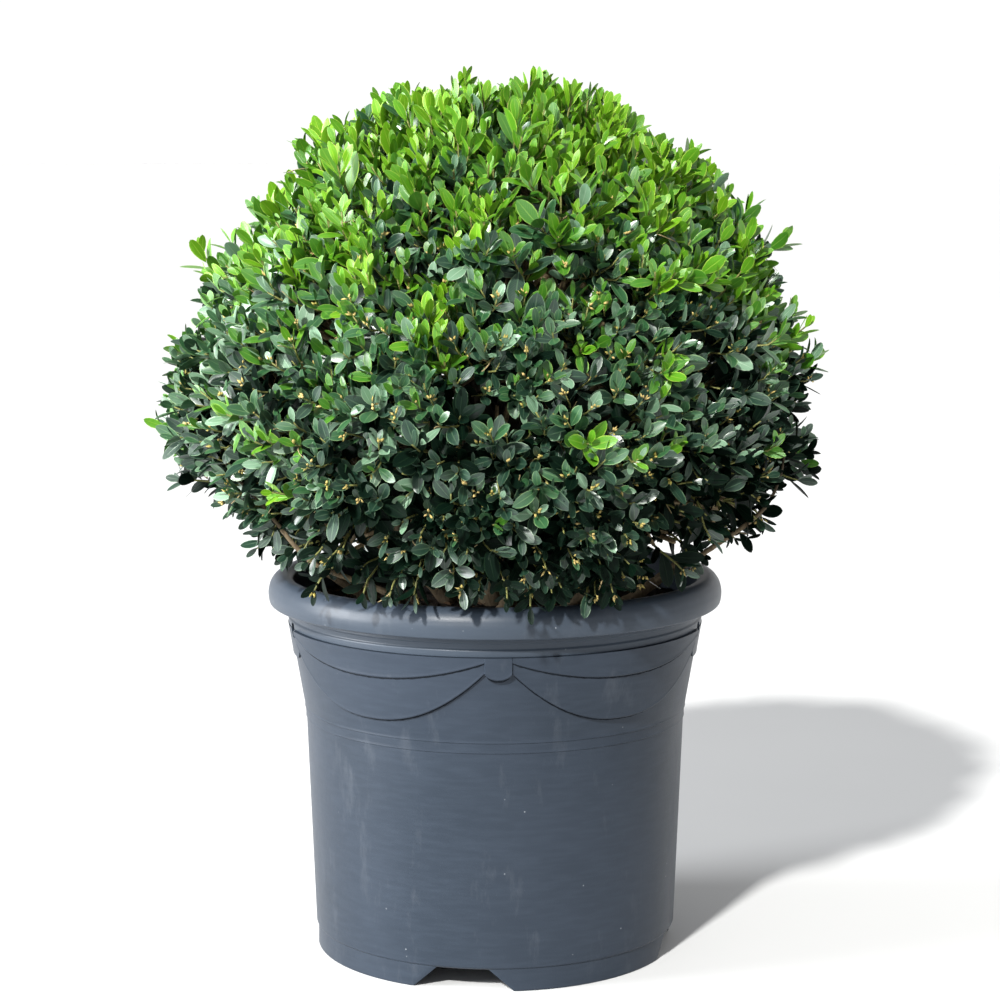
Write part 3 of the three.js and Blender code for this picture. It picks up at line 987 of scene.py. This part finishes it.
def face_spots(count):
    """Places on the clipped face, about evenly far apart but closer in the clumps."""
    crown_mesh.calc_loop_triangles()
    corners = node_points("crown")
    thirds = np.empty(len(crown_mesh.loop_triangles) * 3, np.int32)
    crown_mesh.loop_triangles.foreach_get("vertices", thirds)
    a, b, c = (corners[i] for i in thirds.reshape(-1, 3).T)
    normal = np.cross(b - a, c - a)
    area = np.linalg.norm(normal, axis=1)
    pick = rng.choice(len(area), 9 * count, p=area / area.sum())
    u, v = rng.uniform(0, 1, (2, len(pick), 1))
    over = u + v > 1
    u, v = np.where(over, 1 - u, u), np.where(over, 1 - v, v)
    spots = a[pick] + u * (b - a)[pick] + v * (c - a)[pick]
    outward = unit(normal[pick])
    radius = np.hypot(spots[:, 0], spots[:, 1])
    # few shoots grow down into the shade over the compost
    under = (outward[:, 2] < -0.55) & (radius < 0.20)
    keep = ~under | (rng.uniform(0, 1, len(spots)) < np.clip((radius - 0.11) / 0.10, 0.04, 1))
    keep &= rng.uniform(0, 1, len(spots)) > 0.96 * veil(spots)
    spots, outward = spots[keep], outward[keep]
    spacing = SHOOT_GAP * (1 - 0.40 * waves(spots, 0.085, 11)) * (1 + 3.0 * open_low(spots))
    cell, grid, chosen = 0.02, {}, []
    for i, spot in enumerate(spots):
        key = tuple(int(x) for x in np.floor(spot / cell))
        near = [j for dx in (-1, 0, 1) for dy in (-1, 0, 1) for dz in (-1, 0, 1)
                for j in grid.get((key[0] + dx, key[1] + dy, key[2] + dz), ())]
        if near and (np.linalg.norm(spots[near] - spot, axis=1) < spacing[i]).any():
            continue
        grid.setdefault(key, []).append(i)
        chosen.append(i)
        if len(chosen) == count:
            break
    return spots[chosen], outward[chosen]


spot, outward = face_spots(SHOOTS)
SHOOTS = len(spot)
height = (spot[:, 2] - crown_low[2]) / (crown_high[2] - crown_low[2])
radial = unit(spot - HEART)
outward = unit(outward + radial)
left, right = (np.clip(side * spot[:, 0] / 0.2, 0, 1) for side in (-1, 1))


def band(middle, width):
    """1 at a share of the crown's height, fading out over a width."""
    return np.exp(-((height - middle) / width) ** 2)


# which shoots carry fresh growth: most at the top, and in tufts below
fresh_share = np.interp(height, [0, 0.14, 0.25, 0.5, 0.7, 0.85, 1],
                        [-0.10, 0.12, 0.20, 0.30, 0.46, 0.62, 0.86])
fresh_share += 0.24 * waves(spot, 0.07, 21) + rng.normal(0, 0.12, SHOOTS)
fresh_share += 0.17 * right * band(0.52, 0.13)
fresh = fresh_share > 0.5
# how far each shoot ends outside the clipped face
proud = np.interp(height, [0.06, 0.2, 0.8, 1], [-0.032, -0.025, -0.025, -0.031])
frontal = (spot[:, 1] / np.hypot(spot[:, 0], spot[:, 1])) ** 2
proud += 0.026 * band(0, 0.10) * frontal
proud += 0.011 * waves(spot, 0.11, 12) + rng.normal(0, 0.009, SHOOTS) + 0.009 * fresh
proud -= 0.018 * left * band(0.12, 0.05)
proud -= 0.008 * np.clip(spot[:, 0] / 0.15, 0, 1) * band(0.84, 0.14)
proud -= 0.014 * left * band(0.76, 0.10)
sway = np.interp(height, [0, 0.3, 0.8], [0, 1, 0.2])
proud += 0.009 * (band(0.28, 0.10) * left) - 0.020 * spot[:, 0] * sway
shoot_end = spot + outward * proud[:, None]
lift = np.interp(height, [0, 0.08, 0.3, 0.6, 1], [-0.35, -0.05, 0.55, 0.95, 0.7])
lift += 0.3 * fresh
shoot_way = unit(outward * 0.85 + UP * lift[:, None] + rng.normal(0, 0.26, spot.shape))
shoot_of = nearest(shoot_end - outward * 0.03, twig_end, twig_way)
shoot_start = twig_end[shoot_of]
gap = np.linalg.norm(shoot_end - shoot_start, axis=1, keepdims=True)


def shoot_at(share):
    """Points and directions on every shoot at a share of its length, from its start."""
    t = share[:, None]
    u, v = twig_way[shoot_of] * gap * 0.7, shoot_way * gap * 0.9
    way = ((6 * t ** 2 - 6 * t) * (shoot_start - shoot_end) + (3 * t ** 2 - 4 * t + 1) * u
           + (3 * t ** 2 - 2 * t) * v)
    return bent(t, shoot_start, u, shoot_end, v), unit(way)


shoot_path = np.stack([shoot_at(np.full(SHOOTS, s))[0] for s in np.linspace(0, 1, 5)], 1)
young_wood("shoots", "shoot_bark", (150, 150, 84), (88, 92, 48),
           tubes(shoot_path, taper(*SHOOT_RADII, 5, SHOOTS), 4))

# the leaf's outline: rows along it, and its half-width at each
ROWS = np.array([0, 0.09, 0.24, 0.42, 0.61, 0.79, 0.93, 1.0])
HALF = np.array([0, 0.26, 0.64, 0.92, 1.0, 0.82, 0.46, 0])


def leaf_template():
    """A leaf's points as shares (along, across), its faces, and its map."""
    points = [(0, 0)]
    for t, h in zip(ROWS[1:-1], HALF[1:-1]):
        points += [(t, -h), (t, 0), (t, h)]
    points.append((1, 0))
    thirds = [(0, 2, 1), (0, 3, 2)]
    for r in range(len(ROWS) - 3):
        a = 1 + 3 * r
        for i in (a, a + 1):
            thirds += [(i, i + 1, i + 4), (i, i + 4, i + 3)]
    tip = len(points) - 1
    thirds += [(tip - 3, tip - 2, tip), (tip - 2, tip - 1, tip)]
    flat = []
    for t, y in points:
        side = 0 if y == 0 else math.copysign(1, y)
        flat.append((CELL_LOW + CELL_SIDE * t, CELL_LOW + CELL_SIDE * (side + 1) / 2))
    faces = np.array(thirds)
    return np.array(points, float), faces, np.array(flat)[faces].reshape(-1, 2)


TEMPLATE, LEAF_FACES, LEAF_MAP = leaf_template()


def leaves(base, way, normal, length, width, fold, curl):
    """The points of many leaves, each folded along its midrib and curled along its length."""
    side = unit(np.cross(normal, way))
    normal = np.cross(way, side)
    x, y = TEMPLATE[:, 0][None, :, None], TEMPLATE[:, 1][None, :, None]
    length, width, fold, curl = (v[:, None, None] for v in (length, width, fold, curl))
    lift_off = fold * abs(y) * width / 2 + curl * x * x * length
    return (base[:, None] + way[:, None] * x * length
            + side[:, None] * y * width / 2 + normal[:, None] * lift_off)


pairs = rng.integers(*LEAF_PAIRS, SHOOTS)
pair_gap = rng.uniform(*PAIR_GAP, SHOOTS)
leaf_size = np.clip(rng.normal(LEAF_LENGTH, LENGTH_SPREAD, SHOOTS), *LENGTH_RANGE)
leaf_size *= np.interp(height, [0, 0.5, 1], [0.94, 1.0, 1.08])
# leaves on fresh, high shoots are slimmer and lie closer to the stem
slim = np.clip(0.55 * fresh + 0.5 * (height - 0.4), 0, 1)
turn_start = rng.uniform(0, math.pi, SHOOTS)
# pair by pair down from the tip: the leaves' size, and their angle from the stem
SIZES = np.array([0.62, 0.90, 1.04, 1.05, 1.0, 0.95, 0.88, 0.8])
ANGLES = np.radians([24, 36, 47, 56, 63, 68, 72, 75])

# how bright a shoot's leaves are: fresh growth at the top and in tufts, older growth darker
# lower down, partly painted shade
growth_and_painted_shade = np.where(fresh, 0.33 + 0.30 * (height - 0.6), -0.26 + 0.50 * (height - 0.45))
growth_and_painted_shade += rng.normal(0, 0.13, SHOOTS) + 0.10 * waves(spot, 0.2, 22)
# painted shade on the right side, below the middle height
growth_and_painted_shade -= 0.18 * right * np.interp(height, [0.4, 0.7], [1, 0])
# painted shade at the bottom of the crown
growth_and_painted_shade -= 0.14 * band(0, 0.16)
# painted light on the lower left
growth_and_painted_shade += 0.10 * left * band(0.34, 0.18)
# darker at the top left
growth_and_painted_shade -= 0.12 * left * band(0.85, 0.15)
# a few leaves on some sprays get a pale tint: painted sheen for leaves that catch the light;
# real box leaves are also paler beneath
painted_sheen_share = np.where(rng.uniform(0, 1, SHOOTS) < 0.24, 0.36, 0.03) * (height > 0.12)
painted_sheen_share *= np.interp(height, [0.55, 0.8], [1, 0.3])
SHEEN_TONE = 99.0          # above any tone of growth and shade, so that the leaves of painted sheen have a tint alone
# pair by pair down from the tip: how much darker the leaves are, partly older leaves and
# partly painted shade deep in the spray
FADE = np.array([0.24, 0.18, 0.04, -0.14, -0.28, -0.40, -0.50, -0.55])

# the leaves stand in pairs, each pair a quarter turn on from the one before
blades, tones = [], []
for j in range(len(SIZES)):
    for hand in (0, 1):
        have = pairs > j
        share = 1 - (j + 0.12) * pair_gap / gap[:, 0]
        thin = 0.05 + (0.30 * (height < 0.6) if j > 3 else 0)
        have &= (share > 0.02) & (rng.uniform(0, 1, SHOOTS) > thin)
        place, stem = shoot_at(np.clip(share, 0.02, 1))
        side = unit(np.cross(stem, UP + 0.3 * radial))
        third = np.cross(stem, side)
        turn = turn_start + (j % 2) * math.pi / 2 + hand * math.pi
        turn = turn + rng.normal(0, 0.22, SHOOTS)
        away = side * np.cos(turn)[:, None] + third * np.sin(turn)[:, None]
        angle = ANGLES[j] * (1 - 0.30 * slim) + rng.normal(0, 0.16, SHOOTS)
        way = stem * np.cos(angle)[:, None] + away * np.sin(angle)[:, None]
        way = unit(way + UP * 0.12)
        face = unit(stem - (stem * way).sum(1, keepdims=True) * way)
        face = unit(face + 0.35 * UP + 0.25 * radial + rng.normal(0, 0.22, spot.shape))
        length = leaf_size * SIZES[j] * rng.uniform(0.88, 1.12, SHOOTS)
        width = length * rng.uniform(*LEAF_WIDTH, SHOOTS) * (1 - 0.12 * slim)
        fold = rng.uniform(0.02, 0.42, SHOOTS)
        curl = rng.uniform(-0.20, 0.08, SHOOTS)
        made = leaves(place + away * 0.0006, way, face, length, width, fold, curl)
        tone = growth_and_painted_shade + FADE[j] * np.where(fresh, 0.9 if j > 2 else 0.5, 1.0)
        # painted sheen: a few outer leaves of middling tone take the pale tint
        pale = (rng.uniform(0, 1, SHOOTS) < painted_sheen_share) & (j < 4) & (tone > -0.40) & (tone < 0.42)
        tone = np.where(pale, SHEEN_TONE, tone)
        blades.append(made[have])
        tones.append(tone[have])

made, tone = np.concatenate(blades), np.concatenate(tones)

# no leaf passes through the pot's rim or into the compost
reach = np.hypot(made[..., 0], made[..., 1])
low = made[..., 2]
inside = (rim_radius - RIM_WIDTH) * MM
in_rim = ((low < (rim_high + 1.5) * MM) & (reach < (rim_radius + 2) * MM)
          & (reach > inside)).any(1)
in_bed = ((low < (compost_top + 2) * MM) & (reach <= inside)).any(1)
clear = ~in_rim & ~in_bed
made, tone = made[clear], tone[clear]

# each tint: its name, the tone it ends at, its blade colour, the colour of its veins and of
# the painted highlight on its margin, and its gloss
TINTS = [
    # near-black painted shade for the inmost leaves
    ("leaves_shade", -0.42, (5, 19, 12), (28, 48, 30), 0.0),
    ("leaves_deep", -0.18, (18, 48, 35), (118, 150, 114), 0.50),
    ("leaves_green", 0.05, (34, 80, 45), (142, 176, 118), 0.70),
    ("leaves_leafy", 0.26, (54, 110, 22), (156, 192, 84), 0.60),
    ("leaves_fresh", 0.50, (74, 132, 15), (180, 208, 82), 0.50),
    ("leaves_lime", 9.0, (94, 148, 18), (204, 224, 98), 0.30),
    # painted sheen
    ("leaves_painted_sheen", 199.0, (102, 136, 108), (184, 206, 178), 0.45),
]
MOST_LEAVES = 8200        # in one piece
floor_tone = -9.0
for name, ceiling, blade, vein_and_edge_highlight, gloss in TINTS:
    chosen = made[(tone >= floor_tone) & (tone < ceiling)]
    floor_tone = ceiling
    skin = leaf_skin(name + "_skin", blade, vein_and_edge_highlight, gloss)
    lots = max(1, math.ceil(len(chosen) / MOST_LEAVES))
    for lot in range(lots):
        part = chosen[lot::lots]
        faces = repeated(LEAF_FACES, len(part), len(TEMPLATE))
        piece(f"{name}_{lot + 1}", part.reshape(-1, 3), [faces], skin,
              [np.tile(LEAF_MAP, (len(part), 1))], ["crown"])


def buds():
    """Knots of pale buds at the tips of the older shoots."""
    ball = np.array([(1, 0, 0), (0, 1, 0), (0, 0, 1), (0, -1, 0), (0, 0, -1), (-1, 0, 0)],
                    float)
    sides = [(0, 1, 2), (0, 2, 3), (0, 3, 4), (0, 4, 1),
             (5, 2, 1), (5, 3, 2), (5, 4, 3), (5, 1, 4)]
    bare = np.flatnonzero(~fresh & (rng.uniform(0, 1, SHOOTS) < 0.45))
    tips, stems = shoot_at(np.ones(SHOOTS))
    lots = []
    for _ in range(4):
        way = unit(stems[bare] + rng.normal(0, 0.55, (len(bare), 3)))
        side = unit(np.cross(way, rng.normal(size=way.shape)))
        third = np.cross(way, side)
        long, thick = rng.uniform(0.0018, 0.0036, (2, len(bare), 1, 1)) * [[[[1]]], [[[0.42]]]]
        centre = tips[bare] + way * (long[:, 0] + rng.uniform(0, 0.002, (len(bare), 1)))
        lots.append(centre[:, None] + way[:, None] * ball[:, :1] * long
                    + side[:, None] * ball[:, 1:2] * thick
                    + third[:, None] * ball[:, 2:] * thick)
    points = np.concatenate(lots)
    faces = repeated(sides, len(points), len(ball))
    finish = Finish("bud_skin", Specular_IOR_Level=0.4)
    tone = finish.grain(90, 2)
    skin = finish.done(
        Base_Color=finish.blend(tone.between(0.35, 0.65), (150, 140, 66), (196, 172, 112)),
        Roughness=0.5 + 0.3 * tone,
        Normal=finish.relief(finish.grain(1500, 2), 0.0003),
    )
    piece("buds", points.reshape(-1, 3), [faces], skin)


def dry_twigs():
    """Thin dead twiglets and old leaf stalks, bleached pale."""
    own = rng.choice(SHOOTS, 760, replace=False)
    share = np.ones(SHOOTS)
    share[own] = 1 - rng.uniform(0.004, 0.045, len(own)) / gap[own, 0]
    start, stem = shoot_at(np.clip(share, 0.05, 1))
    start, stem = start[own], stem[own]
    way = unit(stem * 0.5 + rng.normal(0, 0.7, stem.shape) + radial[own] * 0.5)
    bend = unit(way + rng.normal(0, 0.5, way.shape))
    long = rng.uniform(0.007, 0.019, (len(own), 1))
    path = arcs(start, way * long, start + unit(way + bend) * long, bend * long, 4)
    young_wood("dry_twigs", "dry_twig_bark", (196, 180, 136), (128, 108, 70),
               tubes(path, taper(0.0006, 0.0004, 4, len(own)), 4))


buds()
dry_twigs()


# ---------------------------------------------------------------- the studio

def studio():
    """A pale floor, a white room, and one soft key light from the upper left."""
    mesh = bpy.data.meshes.new("floor")
    ring = around(np.arange(64) * 360 / 64, 60.0, 0.0)
    mesh.from_pydata(ring.tolist(), [], [list(range(64))])
    paper = Finish("floor_paper", Roughness=0.9, Specular_IOR_Level=0.2)
    mottle = paper.blend(paper.grain(3, 2), (200, 201, 202), (206, 207, 208))
    mesh.materials.append(paper.done(Base_Color=mottle))
    placed("floor", mesh)

    world = bpy.data.worlds.new("room")
    bpy.context.scene.world = world
    world.use_nodes = True
    room = Nodes(world.node_tree, "Background", Color=(1, 1, 1, 1))
    look = room.node("ShaderNodeTexCoord").out("Generated")
    rise = room.node("ShaderNodeSeparateXYZ", None, {0: look}).out("Z")
    room.set(Strength=1.04 - 0.49 * rise.between(0.10, 0.40))

    key = bpy.data.lights.new("key", "SUN")
    key.energy, key.angle, key.color = 6.0, math.radians(4), (1.0, 0.985, 0.95)
    key_aim = -Vector(around(-24, 1.0, 0.75))
    placed("key", key).rotation_euler = key_aim.to_track_quat("-Z", "Y").to_euler()

    fill = bpy.data.lights.new("left_fill", "AREA")
    fill.shape, fill.size, fill.energy, fill.color = "DISK", 2.2, 340, (0.97, 0.985, 1.0)
    lamp, distance, rise = placed("left_fill", fill), 4.0, math.radians(12)
    lamp.location = around(-78, distance * math.cos(rise), 0.4 + distance * math.sin(rise))
    fill_aim = Vector((0, 0, 0.4)) - lamp.location
    lamp.rotation_euler = fill_aim.to_track_quat("-Z", "Y").to_euler()

    lens = bpy.data.cameras.new("camera")
    lens.sensor_width, lens.lens = 36, 96.05
    lens.clip_start, lens.clip_end = 0.1, 200
    camera = placed("camera", lens)
    camera.location = EYE
    camera.rotation_euler = (math.radians(90 - 7.85), 0, 0)
    bpy.context.scene.camera = camera
    bpy.context.scene.view_settings.view_transform = "Standard"


studio()
